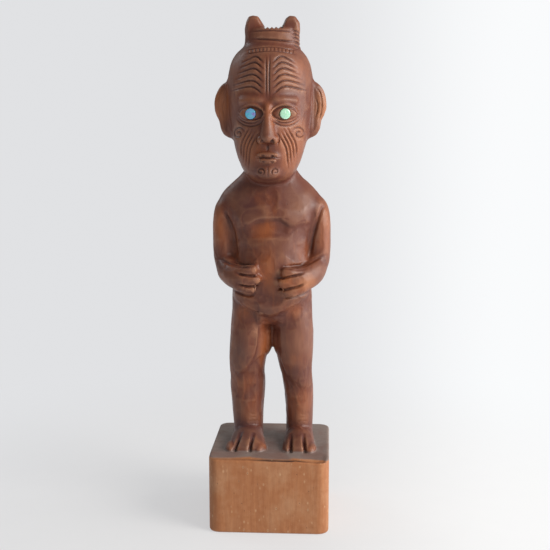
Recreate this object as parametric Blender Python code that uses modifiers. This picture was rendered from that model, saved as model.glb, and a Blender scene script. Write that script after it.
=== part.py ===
"""Standing ancestor figure, carved together with its block base from one piece of square timber.

Each eye holds a round shell inlay, glued into a drilled socket. The figure faces -Y and stands on z = 0.
"Left" is the figure's own left, which is +X.
"""

import math

import bmesh
import bpy
from mathutils import Matrix, Vector
from mathutils.bvhtree import BVHTree

MM = 0.001

# The timber and its two carved stretches.
STOCK_WIDTH = 77 * MM
STOCK_DEPTH = 77 * MM
BASE_HEIGHT = 50 * MM
FIGURE_HEIGHT = 277 * MM

# The block base.
CORNER_RADIUS = 7.0 * MM
EDGE_ROUND = 1.2 * MM
TOE_BEVEL_WIDTH = 11.0 * MM
TOE_BEVEL_DROP = 1.6 * MM

# The eye inlays, from the shell's face inwards.
INLAY_DIAMETER = 6.5 * MM
INLAY_THICKNESS = 1.6 * MM
INLAY_PROUD = 0.5 * MM
INLAY_RIM_BEVEL = 0.3 * MM
GLUE_THICKNESS = 0.5 * MM
GLUE_MARGIN = 0.25 * MM
SEAT_GAP = 0.3 * MM
EYE_TURN = math.radians(12)

# The carved lids around each inlay.
LID_WIDTH = 2.6 * MM
LID_HEIGHT = 0.9 * MM
LID_RISE = 2.6 * MM

# The canon that the stations below are drawn in: one drawn unit is a millimetre of a figure this big.
DRAWN_WIDTH = 77.0
DRAWN_DEPTH = 77.0
DRAWN_HEIGHT = 277.0
ACROSS = STOCK_WIDTH / DRAWN_WIDTH
DEEP = STOCK_DEPTH / DRAWN_DEPTH
TALL = FIGURE_HEIGHT / DRAWN_HEIGHT

# How finely the forms are merged into one skin.
RING_SIDES = 16
RING_SWELL = 3 / (2 + math.cos(2 * math.pi / RING_SIDES))
CAGE_LEVELS = 2
VOXEL = 1.3 * MM
SKIN_SMOOTHING = 5
FACETS_KEPT = 0.10
CORNER_FACETS = 6
RIM_FACETS = 2
DISC_SIDES = 32
DISC_SHARP_ANGLE = math.radians(40)

# Upright forms: height above the base, centre x, centre y, half width, half depth.
TORSO = (
    (78, 0.1, 4.0, 24.0, 13.0),
    (84, 0.1, 3.5, 26.8, 16.5),
    (94, 0.2, 2.2, 26.8, 18.8),
    (104, 0.3, 0.0, 26.0, 19.6),
    (114, 0.3, -2.4, 24.8, 20.6),
    (126, 0.2, -2.6, 23.8, 20.2),
    (138, 0.0, -1.2, 25.2, 19.2),
    (148, -0.2, -0.6, 30.0, 19.0),
    (155, -0.4, 0.2, 34.0, 18.4),
    (160, -0.6, 1.0, 34.4, 17.0),
    (165, -0.8, 1.8, 32.0, 15.8),
    (169, -0.9, 2.4, 28.4, 14.8),
    (173, -0.9, 3.0, 24.0, 14.0),
    (178, -0.9, 3.4, 18.4, 13.2),
    (186, -0.8, 3.6, 14.8, 13.0),
    (200, -0.8, 3.0, 14.0, 13.0),
)
RIGHT_LEG = (
    (0, -16.0, 4.0, 9.9, 9.5),
    (10, -15.9, 4.5, 10.0, 9.5),
    (18, -16.2, 5.0, 10.5, 10.0),
    (30, -16.3, 6.2, 11.5, 11.6),
    (40, -16.3, 6.0, 12.1, 12.4),
    (48, -16.3, 3.5, 11.4, 11.8),
    (56, -15.9, 2.5, 12.3, 12.5),
    (66, -14.7, 2.5, 13.6, 14.0),
    (78, -13.8, 3.0, 13.8, 15.0),
    (90, -13.0, 3.0, 13.2, 15.5),
    (102, -12.5, 2.0, 12.5, 15.0),
)
LEFT_LEG = (
    (0, 18.3, 4.0, 8.9, 9.5),
    (10, 18.3, 4.5, 9.0, 9.5),
    (18, 18.7, 5.0, 9.0, 10.0),
    (30, 18.1, 6.2, 9.8, 11.4),
    (40, 17.2, 6.0, 10.2, 12.2),
    (48, 16.1, 3.5, 10.4, 11.5),
    (56, 15.4, 2.5, 11.8, 12.3),
    (66, 14.6, 2.5, 13.2, 14.0),
    (78, 14.1, 3.0, 13.6, 15.0),
    (90, 13.5, 3.0, 12.9, 15.5),
    (102, 13.1, 2.0, 12.4, 15.0),
)
HEAD_X = -0.8
HEAD = (
    (172.5, HEAD_X, -8.0, 8.0, 8.0),
    (175, HEAD_X, -8.5, 12.5, 13.5),
    (180, HEAD_X, -7.0, 17.0, 17.5),
    (187, HEAD_X, -4.5, 20.2, 21.2),
    (196, HEAD_X, -2.0, 23.0, 24.2),
    (207, HEAD_X, 0.0, 25.2, 26.6),
    (220, HEAD_X, 0.8, 26.5, 27.8),
    (232, HEAD_X, 1.2, 27.4, 28.3),
    (242, HEAD_X, 1.5, 27.0, 27.5),
    (250, HEAD_X, 1.8, 24.8, 25.2),
    (256, HEAD_X, 2.0, 20.4, 20.6),
    (260, HEAD_X, 2.0, 13.6, 14.0),
    (262, HEAD_X, 2.0, 6.0, 6.0),
)
TOPKNOT_X = 0.7
TOPKNOT = (
    (248, TOPKNOT_X, -2.0, 17.4, 12.0),
    (254, TOPKNOT_X, -2.0, 17.6, 12.0),
    (261, TOPKNOT_X, -2.0, 17.6, 11.5),
    (266, TOPKNOT_X, -2.0, 17.2, 11.0),
    (269, TOPKNOT_X, -2.0, 16.8, 10.4),
    (269.6, TOPKNOT_X, -2.0, 14.0, 8.0),
)

# Arms, drawn for the figure's left side: x, y, height above the base, half height or width, half thickness.
UPPER_ARM = (
    (25.0, 1.0, 162, 6.0, 8.5),
    (28.6, 1.0, 157, 8.4, 10.5),
    (30.4, 1.0, 150, 8.2, 11.2),
    (30.5, 1.0, 140, 8.0, 10.8),
    (30.6, 0.6, 128, 7.9, 10.2),
    (30.3, 0.0, 121, 7.8, 9.8),
    (28.8, -1.0, 116, 6.8, 8.5),
    (27.0, -3.0, 113, 4.4, 6.0),
)
FOREARM = (
    (31.0, 3.0, 122.5, 5.6, 5.0),
    (30.4, -1.0, 119.8, 7.8, 6.8),
    (28.4, -8.5, 116.2, 8.6, 7.2),
    (24.8, -15.2, 113.2, 8.2, 6.4),
    (20.4, -20.0, 112.2, 8.0, 5.4),
    (16.0, -22.6, 111.8, 8.8, 4.8),
    (12.4, -23.6, 111.6, 8.4, 3.8),
    (10.4, -23.8, 111.6, 5.0, 2.4),
)
HAND_LIFT = {"right": 0.9, "left": -0.9}

# Fingers, top to bottom, drawn for the left hand: tip x, height above the base at the tip, radius.
FINGERS = ((7.2, 118.4, 3.0), (4.8, 111.4, 3.2), (7.6, 105.2, 2.9))
FINGER_ROOT_X = 17.5
FINGER_ROOT_Y = -24.4
FINGER_TIP_Y = -25.0

# Feet from heel to toes: y, centre x, centre height above the base, half width, half height.
RIGHT_FOOT = (
    (17, -15.7, 1.0, 5.5, 4.5),
    (14, -15.8, 2.0, 8.6, 7.0),
    (6, -15.9, 3.0, 10.0, 9.5),
    (-4, -15.7, 2.5, 10.9, 9.0),
    (-12, -15.2, 1.5, 12.0, 7.6),
    (-19, -14.7, 0.6, 12.6, 6.2),
    (-24, -14.4, -0.4, 12.7, 5.0),
    (-26.5, -14.3, -1.2, 12.0, 3.6),
)
LEFT_FOOT = (
    (17, 18.3, 1.0, 5.0, 4.5),
    (14, 18.3, 2.0, 8.0, 7.0),
    (6, 18.4, 3.0, 9.2, 9.5),
    (-4, 18.5, 2.5, 9.9, 9.0),
    (-12, 18.6, 1.5, 10.5, 7.6),
    (-19, 18.7, 0.6, 10.8, 6.2),
    (-24, 18.7, -0.4, 10.8, 5.0),
    (-26.5, 18.7, -1.2, 10.2, 3.6),
)

# Rounded masses: centre x, y, height above the base, then half sizes along x, y and z.
BUTTOCK = (11.2, 8.6, 94.0, 13.4, 12.4, 17.5)
KNOB = (12.0, -2.0, 268.0, 6.0, 6.4, 9.0)
EAR = (27.0, 0.5, 222.5, 10.0, 4.6, 14.8)
EAR_LOBE = (25.8, 0.2, 211.0, 7.6, 4.4, 10.8)
BROW = (10.6, -24.0, 223.6, 9.8, 3.4, 2.6)
BROW_TURN = math.radians(24)
LIP = (0.0, -25.2, 189.0, 7.6, 3.6, 2.6)
CHIN = (0.0, -22.4, 179.5, 8.0, 4.4, 4.6)

# The nose, from the brow down to its tip and base: height above the base, centre y, half width, half depth.
NOSE = (
    (224.0, -25.5, 2.6, 3.0),
    (216.0, -27.2, 2.9, 3.8),
    (208.0, -28.8, 3.8, 4.6),
    (201.0, -29.4, 5.2, 5.4),
    (197.6, -28.8, 4.8, 4.6),
)

# The eyes, by the usual rule of the eye line halfway up the head and one eye's width between them.
EYE_X = 10.7
EYE_HEIGHT = 215.5
EYE_SINK = 1.2


def clear_scene():
    for obj in list(bpy.data.objects):
        bpy.data.objects.remove(obj)


def new_collection(name):
    made = bpy.data.collections.new(name)
    bpy.context.scene.collection.children.link(made)
    return made


def new_material(name, colour, roughness, metallic=0.0):
    made = bpy.data.materials.new(name)
    made.use_nodes = True
    shader = made.node_tree.nodes["Principled BSDF"]
    shader.inputs["Base Color"].default_value = (*colour, 1.0)
    shader.inputs["Roughness"].default_value = roughness
    shader.inputs["Metallic"].default_value = metallic
    return made


def on_figure(x, y, height):
    """A drawn point as a real one: the canon stretches with the timber, and stands on the base."""
    return Vector((x * ACROSS, y * DEEP, height * TALL + BASE_HEIGHT))


def add_ring(bm, centre, along, side, half_side, half_other, capped):
    """One section of a loft: a ring across the path, drawn a little large because subdivision draws it in."""
    normal = along.normalized()
    side = (side - side.dot(normal) * normal).normalized()
    other = normal.cross(side)
    turn = Matrix((side, other, normal)).transposed().to_4x4()
    stretch = Matrix.Diagonal((half_side * RING_SWELL, half_other * RING_SWELL, 1, 1))
    made = bmesh.ops.create_circle(
        bm,
        cap_ends=capped,
        segments=RING_SIDES,
        radius=1.0,
        matrix=Matrix.Translation(centre) @ turn @ stretch,
    )
    return list({edge for vert in made["verts"] for edge in vert.link_edges})


def loft(bm, centres, sizes, side, along=None):
    """A closed tube through rings at the centres. Each ring's first half size lies along the side vector.

    The rings stand square to the path, or all square to the direction given as along.
    """
    last = len(centres) - 1
    previous = None
    for i, centre in enumerate(centres):
        path = along or centres[min(i + 1, last)] - centres[max(i - 1, 0)]
        ring = add_ring(bm, centre, path, side, *sizes[i], capped=i in (0, last))
        if previous:
            bmesh.ops.bridge_loops(bm, edges=previous + ring)
        previous = ring


def upright(bm, stations):
    """A form whose sections all lie level."""
    centres = [on_figure(x, y, height) for height, x, y, _, _ in stations]
    sizes = [(half_w * ACROSS, half_d * DEEP) for _, _, _, half_w, half_d in stations]
    loft(bm, centres, sizes, Vector((1, 0, 0)), along=Vector((0, 0, 1)))


def foot(bm, stations):
    centres = [on_figure(x, y, height) for y, x, height, _, _ in stations]
    sizes = [(half_w * ACROSS, half_h * TALL) for _, _, _, half_w, half_h in stations]
    loft(bm, centres, sizes, Vector((1, 0, 0)))


def upper_arm(bm, hand):
    centres = [on_figure(hand * x, y, height) for x, y, height, _, _ in UPPER_ARM]
    sizes = [(half_w * ACROSS, half_d * DEEP) for _, _, _, half_w, half_d in UPPER_ARM]
    loft(bm, centres, sizes, Vector((1, 0, 0)))


def forearm(bm, hand, lift):
    """The lift raises the hand and fades to nothing at the elbow."""
    last = len(FOREARM) - 1
    centres = [
        on_figure(hand * x, y, height + lift * i / last)
        for i, (x, y, height, _, _) in enumerate(FOREARM)
    ]
    sizes = [(half_h * TALL, half_t * DEEP) for _, _, _, half_h, half_t in FOREARM]
    loft(bm, centres, sizes, Vector((0, 0, 1)))


def finger(bm, hand, lift, tip_x, height, radius):
    """A straight finger on the belly, blunt at its tip."""
    spans = (0.0, 0.45, 0.85, 1.0)
    swells = (0.8, 1.0, 0.95, 0.5)
    centres = []
    for span in spans:
        x = FINGER_ROOT_X + (tip_x - FINGER_ROOT_X) * span
        y = FINGER_ROOT_Y + (FINGER_TIP_Y - FINGER_ROOT_Y) * span
        centres.append(on_figure(hand * x, y, height + lift))
    sizes = [(radius * swell * TALL, radius * swell * DEEP) for swell in swells]
    loft(bm, centres, sizes, Vector((0, 0, 1)))


def ball(bm, place, half):
    """An ellipsoid of the given half sizes, put and turned by the place matrix."""
    bmesh.ops.create_uvsphere(
        bm,
        u_segments=RING_SIDES,
        v_segments=RING_SIDES // 2,
        radius=1.0,
        matrix=place @ Matrix.Diagonal((*half, 1)),
    )


def mass(bm, x, y, height, half_x, half_y, half_z, turn=0.0):
    place = Matrix.Translation(on_figure(x, y, height)) @ Matrix.Rotation(turn, 4, "Z")
    ball(bm, place, (half_x * ACROSS, half_y * DEEP, half_z * TALL))


def mass_pair(bm, centre_x, x, *rest, turn=0.0):
    for hand in (-1, 1):
        mass(bm, centre_x + hand * x, *rest, turn=hand * turn)


def build_forms():
    """Every mass of the body as its own closed form, overlapping its neighbours."""
    bm = bmesh.new()
    for stations in (TORSO, RIGHT_LEG, LEFT_LEG, HEAD, TOPKNOT):
        upright(bm, stations)
    upright(bm, [(height, HEAD_X, y, half_w, half_d) for height, y, half_w, half_d in NOSE])
    foot(bm, RIGHT_FOOT)
    foot(bm, LEFT_FOOT)
    for side, hand in (("right", -1), ("left", 1)):
        upper_arm(bm, hand)
        forearm(bm, hand, HAND_LIFT[side])
        for tip_x, height, radius in FINGERS:
            finger(bm, hand, HAND_LIFT[side], tip_x, height, radius)
    mass_pair(bm, 0.0, *BUTTOCK)
    mass_pair(bm, TOPKNOT_X, *KNOB)
    mass_pair(bm, HEAD_X, *EAR)
    mass_pair(bm, HEAD_X, *EAR_LOBE)
    mass_pair(bm, HEAD_X, *BROW, turn=BROW_TURN)
    for form in (LIP, CHIN):
        mass(bm, form[0] + HEAD_X, *form[1:])
    bmesh.ops.recalc_face_normals(bm, faces=bm.faces)
    mesh = bpy.data.meshes.new("carved_figure")
    bm.to_mesh(mesh)
    bm.free()
    return mesh


def build_figure(collection, material):
    """The body as one skin: the overlapping forms are merged, eased and pared to broad facets."""
    figure = bpy.data.objects.new("carved_figure", build_forms())
    figure.data.materials.append(material)
    collection.objects.link(figure)
    soften = figure.modifiers.new("soften_cages", "SUBSURF")
    soften.levels = soften.render_levels = CAGE_LEVELS
    merge = figure.modifiers.new("merge_forms", "REMESH")
    merge.mode = "VOXEL"
    merge.voxel_size = VOXEL
    ease = figure.modifiers.new("ease_joins", "SMOOTH")
    ease.factor = 0.5
    ease.iterations = SKIN_SMOOTHING
    pare = figure.modifiers.new("pare_to_facets", "DECIMATE")
    pare.ratio = FACETS_KEPT
    return figure


def rising_edges(bm):
    return [e for e in bm.edges if abs(e.verts[0].co.z - e.verts[1].co.z) > BASE_HEIGHT / 2]


def make_cutter(obj, cutters):
    obj.hide_render = True
    obj.display_type = "WIRE"
    cutters.objects.link(obj)


def build_base(cutters):
    """The block, with upright corners rounded, its rims eased, and its top falling away in front of the toes."""
    bm = bmesh.new()
    size = Matrix.Diagonal((STOCK_WIDTH, STOCK_DEPTH, BASE_HEIGHT, 1))
    lift = Matrix.Translation((0, 0, BASE_HEIGHT / 2))
    bmesh.ops.create_cube(bm, size=1.0, matrix=lift @ size)
    bmesh.ops.bevel(
        bm,
        geom=rising_edges(bm),
        offset=CORNER_RADIUS,
        segments=CORNER_FACETS,
        profile=0.5,
        affect="EDGES",
        material=-1,
    )
    upright_edges = set(rising_edges(bm))
    bmesh.ops.bevel(
        bm,
        geom=[e for e in bm.edges if e not in upright_edges],
        offset=EDGE_ROUND,
        segments=RIM_FACETS,
        profile=0.5,
        affect="EDGES",
        material=-1,
    )
    bevel_start = TOE_BEVEL_WIDTH - STOCK_DEPTH / 2
    everything = bm.verts[:] + bm.edges[:] + bm.faces[:]
    bmesh.ops.bisect_plane(bm, geom=everything, plane_co=(0, bevel_start, 0), plane_no=(0, 1, 0))
    for vert in bm.verts:
        if vert.co.y < bevel_start and vert.co.z > BASE_HEIGHT / 2:
            vert.co.z -= TOE_BEVEL_DROP * (bevel_start - vert.co.y) / TOE_BEVEL_WIDTH
    bmesh.ops.recalc_face_normals(bm, faces=bm.faces)
    mesh = bpy.data.meshes.new("block_base")
    bm.to_mesh(mesh)
    bm.free()
    base = bpy.data.objects.new("block_base", mesh)
    make_cutter(base, cutters)
    return base


def eye_seat(figure, hand):
    """Where an eye sits: on the figure's skin, turned a little outwards, with the skin facing -Y of the seat."""
    bpy.context.view_layer.update()
    skin = BVHTree.FromObject(figure, bpy.context.evaluated_depsgraph_get())
    start = on_figure(HEAD_X + hand * EYE_X, 0.0, EYE_HEIGHT)
    start.y = -STOCK_DEPTH
    hit = skin.ray_cast(start, Vector((0, 1, 0)))[0]
    return Matrix.Translation(hit) @ Matrix.Rotation(hand * EYE_TURN, 4, "Z")


def build_lids(figure):
    """An almond mound for each inlay to sit in, added to the forms before they are merged."""
    seats = [eye_seat(figure, hand) for hand in (-1, 1)]
    half = (INLAY_DIAMETER / 2 + LID_WIDTH, LID_RISE, INLAY_DIAMETER / 2 + LID_HEIGHT)
    bm = bmesh.new()
    bm.from_mesh(figure.data)
    for seat in seats:
        ball(bm, seat @ Matrix.Translation((0, EYE_SINK * DEEP, 0)), half)
    bm.to_mesh(figure.data)
    bm.free()


def disc(name, seat, depth, radius, thickness, rim_bevel=0.0):
    """A round plate with its front face at the given depth behind the seat."""
    bm = bmesh.new()
    bmesh.ops.create_cone(
        bm,
        cap_ends=True,
        segments=DISC_SIDES,
        radius1=radius,
        radius2=radius,
        depth=thickness,
    )
    if rim_bevel:
        bmesh.ops.bevel(
            bm,
            geom=[e for e in bm.edges if all(v.co.z > 0 for v in e.verts)],
            offset=rim_bevel,
            segments=RIM_FACETS,
            profile=0.5,
            affect="EDGES",
            material=-1,
        )
    face_front = Matrix.Rotation(math.radians(90), 4, "X")
    bmesh.ops.transform(bm, matrix=Matrix.Translation((0, thickness / 2, 0)) @ face_front, verts=bm.verts)
    mesh = bpy.data.meshes.new(name)
    bm.to_mesh(mesh)
    bm.free()
    mesh.shade_smooth()
    mesh.set_sharp_from_angle(angle=DISC_SHARP_ANGLE)
    made = bpy.data.objects.new(name, mesh)
    made.matrix_world = seat @ Matrix.Translation((0, depth, 0))
    return made


def inlay_eye(side, seat, parts, cutters, shell, glue):
    """One shell disc on its bed of glue. Returns the socket that both of them sit in."""
    radius = INLAY_DIAMETER / 2
    glue_depth = INLAY_THICKNESS - INLAY_PROUD + SEAT_GAP
    socket_depth = glue_depth + GLUE_THICKNESS + SEAT_GAP
    clear_front = 4 * INLAY_THICKNESS
    inlay = disc("eye_inlay_" + side, seat, -INLAY_PROUD, radius, INLAY_THICKNESS, INLAY_RIM_BEVEL)
    bed = disc("eye_glue_" + side, seat, glue_depth, radius - GLUE_MARGIN, GLUE_THICKNESS)
    socket = disc("eye_socket_" + side, seat, -clear_front, radius + SEAT_GAP, clear_front + socket_depth)
    inlay.data.materials.append(shell)
    bed.data.materials.append(glue)
    parts.objects.link(inlay)
    parts.objects.link(bed)
    make_cutter(socket, cutters)
    return socket


def combine(figure, operation, other):
    step = figure.modifiers.new(operation.lower() + "_" + other.name, "BOOLEAN")
    step.operation = operation
    step.object = other


def main():
    clear_scene()
    parts = new_collection("ancestor_figure")
    cutters = new_collection("cutters")
    timber = new_material("stained_timber", (0.19, 0.075, 0.045), 0.42)
    shell = new_material("paua_shell", (0.22, 0.55, 0.55), 0.18, 0.25)
    glue = new_material("amber_glue", (0.45, 0.27, 0.10), 0.3)

    figure = build_figure(parts, timber)
    build_lids(figure)
    seats = {"right": eye_seat(figure, -1), "left": eye_seat(figure, 1)}
    combine(figure, "UNION", build_base(cutters))
    for side, seat in seats.items():
        combine(figure, "DIFFERENCE", inlay_eye(side, seat, parts, cutters, shell, glue))


main()
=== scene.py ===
"""The fine model of a carved ancestor figure: one piece of stained timber with two shell eye inlays.

It is laid out as an add-on and is run as a script. Each operator makes one piece, or the stage. The figure
faces -Y and stands on z = 0. "Left" is the figure's own left, which is +X. Carving is described in drawn
units: millimetres on a figure of the canon's size, x across, y deep and h above the top of the block.
"""

import math

import bmesh
import bpy
import numpy as np
from bpy.props import FloatProperty, FloatVectorProperty, IntProperty, PointerProperty
from mathutils import Matrix, Vector
from mathutils.bvhtree import BVHTree


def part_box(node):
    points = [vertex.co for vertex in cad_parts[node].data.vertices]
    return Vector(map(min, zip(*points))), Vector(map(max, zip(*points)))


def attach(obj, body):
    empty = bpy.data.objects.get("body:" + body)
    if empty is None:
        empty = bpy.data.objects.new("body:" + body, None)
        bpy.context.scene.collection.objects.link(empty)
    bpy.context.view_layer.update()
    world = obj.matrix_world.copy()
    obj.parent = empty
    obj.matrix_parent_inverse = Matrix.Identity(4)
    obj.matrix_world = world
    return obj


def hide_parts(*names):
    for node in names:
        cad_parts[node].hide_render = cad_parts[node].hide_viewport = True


bl_info = {
    "name": "Carved Ancestor Figure",
    "version": (1, 0, 0),
    "blender": (4, 5, 0),
    "location": "View3D > Sidebar > Figure",
    "description": "Carves the fine surface of a standing timber figure and sets it on a plain floor",
    "category": "Object",
}

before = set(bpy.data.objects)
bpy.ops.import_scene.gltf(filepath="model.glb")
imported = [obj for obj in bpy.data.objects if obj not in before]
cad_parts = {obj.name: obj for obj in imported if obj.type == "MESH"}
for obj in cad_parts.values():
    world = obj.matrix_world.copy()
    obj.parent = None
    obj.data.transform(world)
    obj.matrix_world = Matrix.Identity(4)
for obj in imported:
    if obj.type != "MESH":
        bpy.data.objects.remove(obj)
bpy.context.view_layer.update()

MM = 0.001
CANON = Vector((77.0, 77.0, 277.0))
SIDES = (("right", -1), ("left", 1))


# The frame's own measures.


def top_of_block():
    """Height of the block's top, read straight down beside the figure's back."""
    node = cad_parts["carved_figure"]
    skin = BVHTree.FromPolygons([v.co for v in node.data.vertices], [p.vertices for p in node.data.polygons])
    low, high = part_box("carved_figure")
    start = Vector((low.x, high.y, high.z)).lerp(Vector((high.x, low.y, high.z)), 0.15)
    return skin.ray_cast(start, Vector((0, 0, -1)))[0].z


def canon_scale():
    """Real metres to one drawn unit, along x, y and z."""
    low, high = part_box("carved_figure")
    size = Vector((high.x - low.x, high.y - low.y, high.z - BLOCK_TOP))
    return np.array([size[i] / CANON[i] for i in range(3)])


def inlay_seat(side):
    """A matrix at the middle of a shell disc's front face, with its own -Y pointing out of the eye."""
    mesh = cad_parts["eye_inlay_" + side].data
    outward = Vector((0, 0, 0))
    for face in mesh.polygons:
        if face.normal.y < -0.9:
            outward += face.normal * face.area
    outward.normalize()
    reach = max(v.co.dot(outward) for v in mesh.vertices)
    low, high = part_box("eye_inlay_" + side)
    middle = (low + high) / 2
    front = middle + outward * (reach - middle.dot(outward))
    turn = math.atan2(outward.x, -outward.y)
    return Matrix.Translation(front) @ Matrix.Rotation(turn, 4, "Z")


BLOCK_TOP = top_of_block()
SCALE = canon_scale()
SEATS = {side: inlay_seat(side) for side, _ in SIDES}
INLAY_THICKNESS = 1.6 * MM
HEAD_X = (SEATS["right"].translation.x + SEATS["left"].translation.x) / 2 / SCALE[0]
EYE_X = (SEATS["left"].translation.x - SEATS["right"].translation.x) / 2 / SCALE[0]
EYE_H = (SEATS["left"].translation.z - BLOCK_TOP) / SCALE[2]


def to_drawn(co):
    return (co - np.array([0.0, 0.0, BLOCK_TOP])) / SCALE


def to_real(co):
    return co * SCALE + np.array([0.0, 0.0, BLOCK_TOP])


def place(x, y, h):
    return Vector(to_real(np.array([x, y, h])))


# Shapes shared by the carving steps.


def smoothstep(low, high, value):
    t = np.clip((value - low) / (high - low), 0.0, 1.0)
    return t * t * (3.0 - 2.0 * t)


def near_line(line, u):
    """The line's height over u, from a list of (u, v) points in order of u."""
    points = curve_through(line)
    return np.interp(u, points[:, 0], points[:, 1])


def hill(u, v, centre, half):
    """A soft round hill, 1 in its middle and 0 at its rim."""
    spread = ((u - centre[0]) / half[0]) ** 2 + ((v - centre[1]) / half[1]) ** 2
    return np.clip(1.0 - spread, 0.0, 1.0) ** 2


def curve_through(points, steps=8):
    """A smooth line through the points, as an array of many short chords."""
    p = [np.array(point, float) for point in points]
    p = [2 * p[0] - p[1]] + p + [2 * p[-1] - p[-2]]
    line = []
    for a, b, c, d in zip(p, p[1:], p[2:], p[3:]):
        for i in range(steps):
            t = i / steps
            line.append(
                0.5 * (2 * b + (c - a) * t + (2 * a - 5 * b + 4 * c - d) * t**2 + (3 * b - a - 3 * c + d) * t**3)
            )
    line.append(p[-2])
    return np.array(line)


def arc(centre, half, start, end, count=9):
    """Points on an ellipse from one angle to another, in degrees, counted from +x towards +h."""
    angles = [math.radians(start + (end - start) * i / (count - 1)) for i in range(count)]
    return [(centre[0] + half[0] * math.cos(a), centre[1] + half[1] * math.sin(a)) for a in angles]


def spiral(centre, start_radius, end_radius, start, turns, hand=1, count=16):
    points = []
    for i in range(count):
        t = i / (count - 1)
        radius = start_radius + (end_radius - start_radius) * t
        angle = math.radians(start) + 2 * math.pi * turns * t
        points.append((centre[0] + hand * radius * math.cos(angle), centre[1] + radius * math.sin(angle)))
    return points


class Skin:
    """The figure's surface as arrays in drawn units, with the depth and the stain of the cuts at each point."""

    def __init__(self, mesh):
        self.mesh = mesh
        flat = np.empty(len(mesh.vertices) * 3, np.float32)
        mesh.vertices.foreach_get("co", flat)
        self.co = to_drawn(flat.reshape(-1, 3).astype(float))
        self.cut = np.zeros(len(self.co))
        self.stain = np.zeros(len(self.co))
        self.read_normals()

    def read_normals(self):
        flat = np.empty(len(self.co) * 3, np.float32)
        self.mesh.vertices.foreach_get("normal", flat)
        self.normal = flat.reshape(-1, 3).astype(float)
        self.front = smoothstep(0.1, 0.4, -self.normal[:, 1])

    def write(self):
        self.mesh.vertices.foreach_set("co", to_real(self.co).astype(np.float32).ravel())
        self.mesh.update()
        self.read_normals()

    @property
    def x(self):
        return self.co[:, 0]

    @property
    def y(self):
        return self.co[:, 1]

    @property
    def h(self):
        return self.co[:, 2]

    def raise_by(self, amount):
        self.co += self.normal * amount[:, None]

    def add_cut(self, cut, stain=1.0, chosen=slice(None)):
        self.cut[chosen] = np.maximum(self.cut[chosen], cut)
        self.stain[chosen] = np.maximum(self.stain[chosen], cut * stain)

    def sink_cuts(self):
        self.raise_by(-self.cut)
        self.write()

    def groove(self, points, width, depth, where, u=None, v=None, taper=0.25, stain=1.0, round_floor=False):
        """Adds a cut along a line drawn in u and v, which are x and h as seen from the front by default."""
        u = self.x if u is None else u
        v = self.h if v is None else v
        line = curve_through(points)
        low = line.min(0) - width
        high = line.max(0) + width
        near = np.flatnonzero((where > 0) & (u > low[0]) & (u < high[0]) & (v > low[1]) & (v < high[1]))
        if not len(near):
            return
        spots = np.stack([u[near], v[near]], 1)
        nearest = np.full(len(near), np.inf)
        along = np.zeros(len(near))
        chords = len(line) - 1
        for i in range(chords):
            chord = line[i + 1] - line[i]
            t = np.clip((spots - line[i]) @ chord / max(chord @ chord, 1e-9), 0, 1)
            away = spots - line[i] - t[:, None] * chord
            distance = np.hypot(away[:, 0], away[:, 1])
            closer = distance < nearest
            nearest[closer] = distance[closer]
            along[closer] = ((i + t) / chords)[closer]
        ends = smoothstep(0, taper, along) * smoothstep(0, taper, 1 - along)
        shape = np.clip(1 - nearest / (width / 2), 0, 1)
        if round_floor:
            shape = smoothstep(0, 1, shape)
        self.add_cut(depth * shape * (0.15 + 0.85 * ends) * where[near], stain, near)

    def ledge(self, line, rise, soft, fade, where):
        """Lifts what lies above a line across the front. The lift dies away further up."""
        above = self.h - near_line(line, self.x)
        self.raise_by(rise * smoothstep(-soft, soft, above) * smoothstep(fade, 0.3 * fade, above) * where)

    def plane_off(self, middle, outward, depth, radius):
        """Cuts a small flat facet, as one stroke of a blade does, with its floor the depth under the middle."""
        near = np.flatnonzero(np.all(np.abs(self.co - middle) < radius, axis=1))
        offset = self.co[near] - middle
        height = offset @ outward
        aside = np.sqrt(np.maximum(np.einsum("ij,ij->i", offset, offset) - height**2, 0))
        weight = smoothstep(radius, 0.75 * radius, aside) * smoothstep(0.4, 0.7, self.normal[near] @ outward)
        self.co[near] -= np.outer(np.clip(height + depth, 0, 2 * depth) * weight, outward)

    def whittle(self, chosen, count, radii, depths, seed):
        random = np.random.default_rng(seed)
        for spot in random.choice(np.flatnonzero(chosen), count, replace=False):
            self.plane_off(
                self.co[spot].copy(), self.normal[spot], random.uniform(*depths), random.uniform(*radii)
            )

    def undulation(self, wavelengths, count, seed):
        """A gentle unevenness from crossing waves, about -1 to 1."""
        random = np.random.default_rng(seed)
        total = np.zeros(len(self.co))
        for _ in range(count):
            direction = random.normal(size=3)
            direction /= np.linalg.norm(direction)
            wavelength = random.uniform(*wavelengths)
            total += np.sin(self.co @ direction * (2 * math.pi / wavelength) + random.uniform(0, 2 * math.pi))
        return total / math.sqrt(count / 2) / 2


# Forms that are added to the frame's plain figure before its surface is drawn fine.


def new_mesh_object(name, bm):
    mesh = bpy.data.meshes.new(name)
    bm.to_mesh(mesh)
    bm.free()
    obj = bpy.data.objects.new(name, mesh)
    bpy.context.scene.collection.objects.link(obj)
    return obj


def finished_mesh(obj):
    """Replaces the object's mesh with what its modifiers make of it, and clears them."""
    depsgraph = bpy.context.evaluated_depsgraph_get()
    made = bpy.data.meshes.new_from_object(obj.evaluated_get(depsgraph))
    obj.modifiers.clear()
    old = obj.data
    obj.data = made
    bpy.data.meshes.remove(old)
    return made


def ball(bm, centre, half, turn=0.0):
    bmesh.ops.create_uvsphere(
        bm,
        u_segments=32,
        v_segments=16,
        radius=1.0,
        matrix=Matrix.Translation(place(*centre))
        @ Matrix.Rotation(turn, 4, "Z")
        @ Matrix.Diagonal((*[half[i] * SCALE[i] for i in range(3)], 1)),
    )


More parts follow.
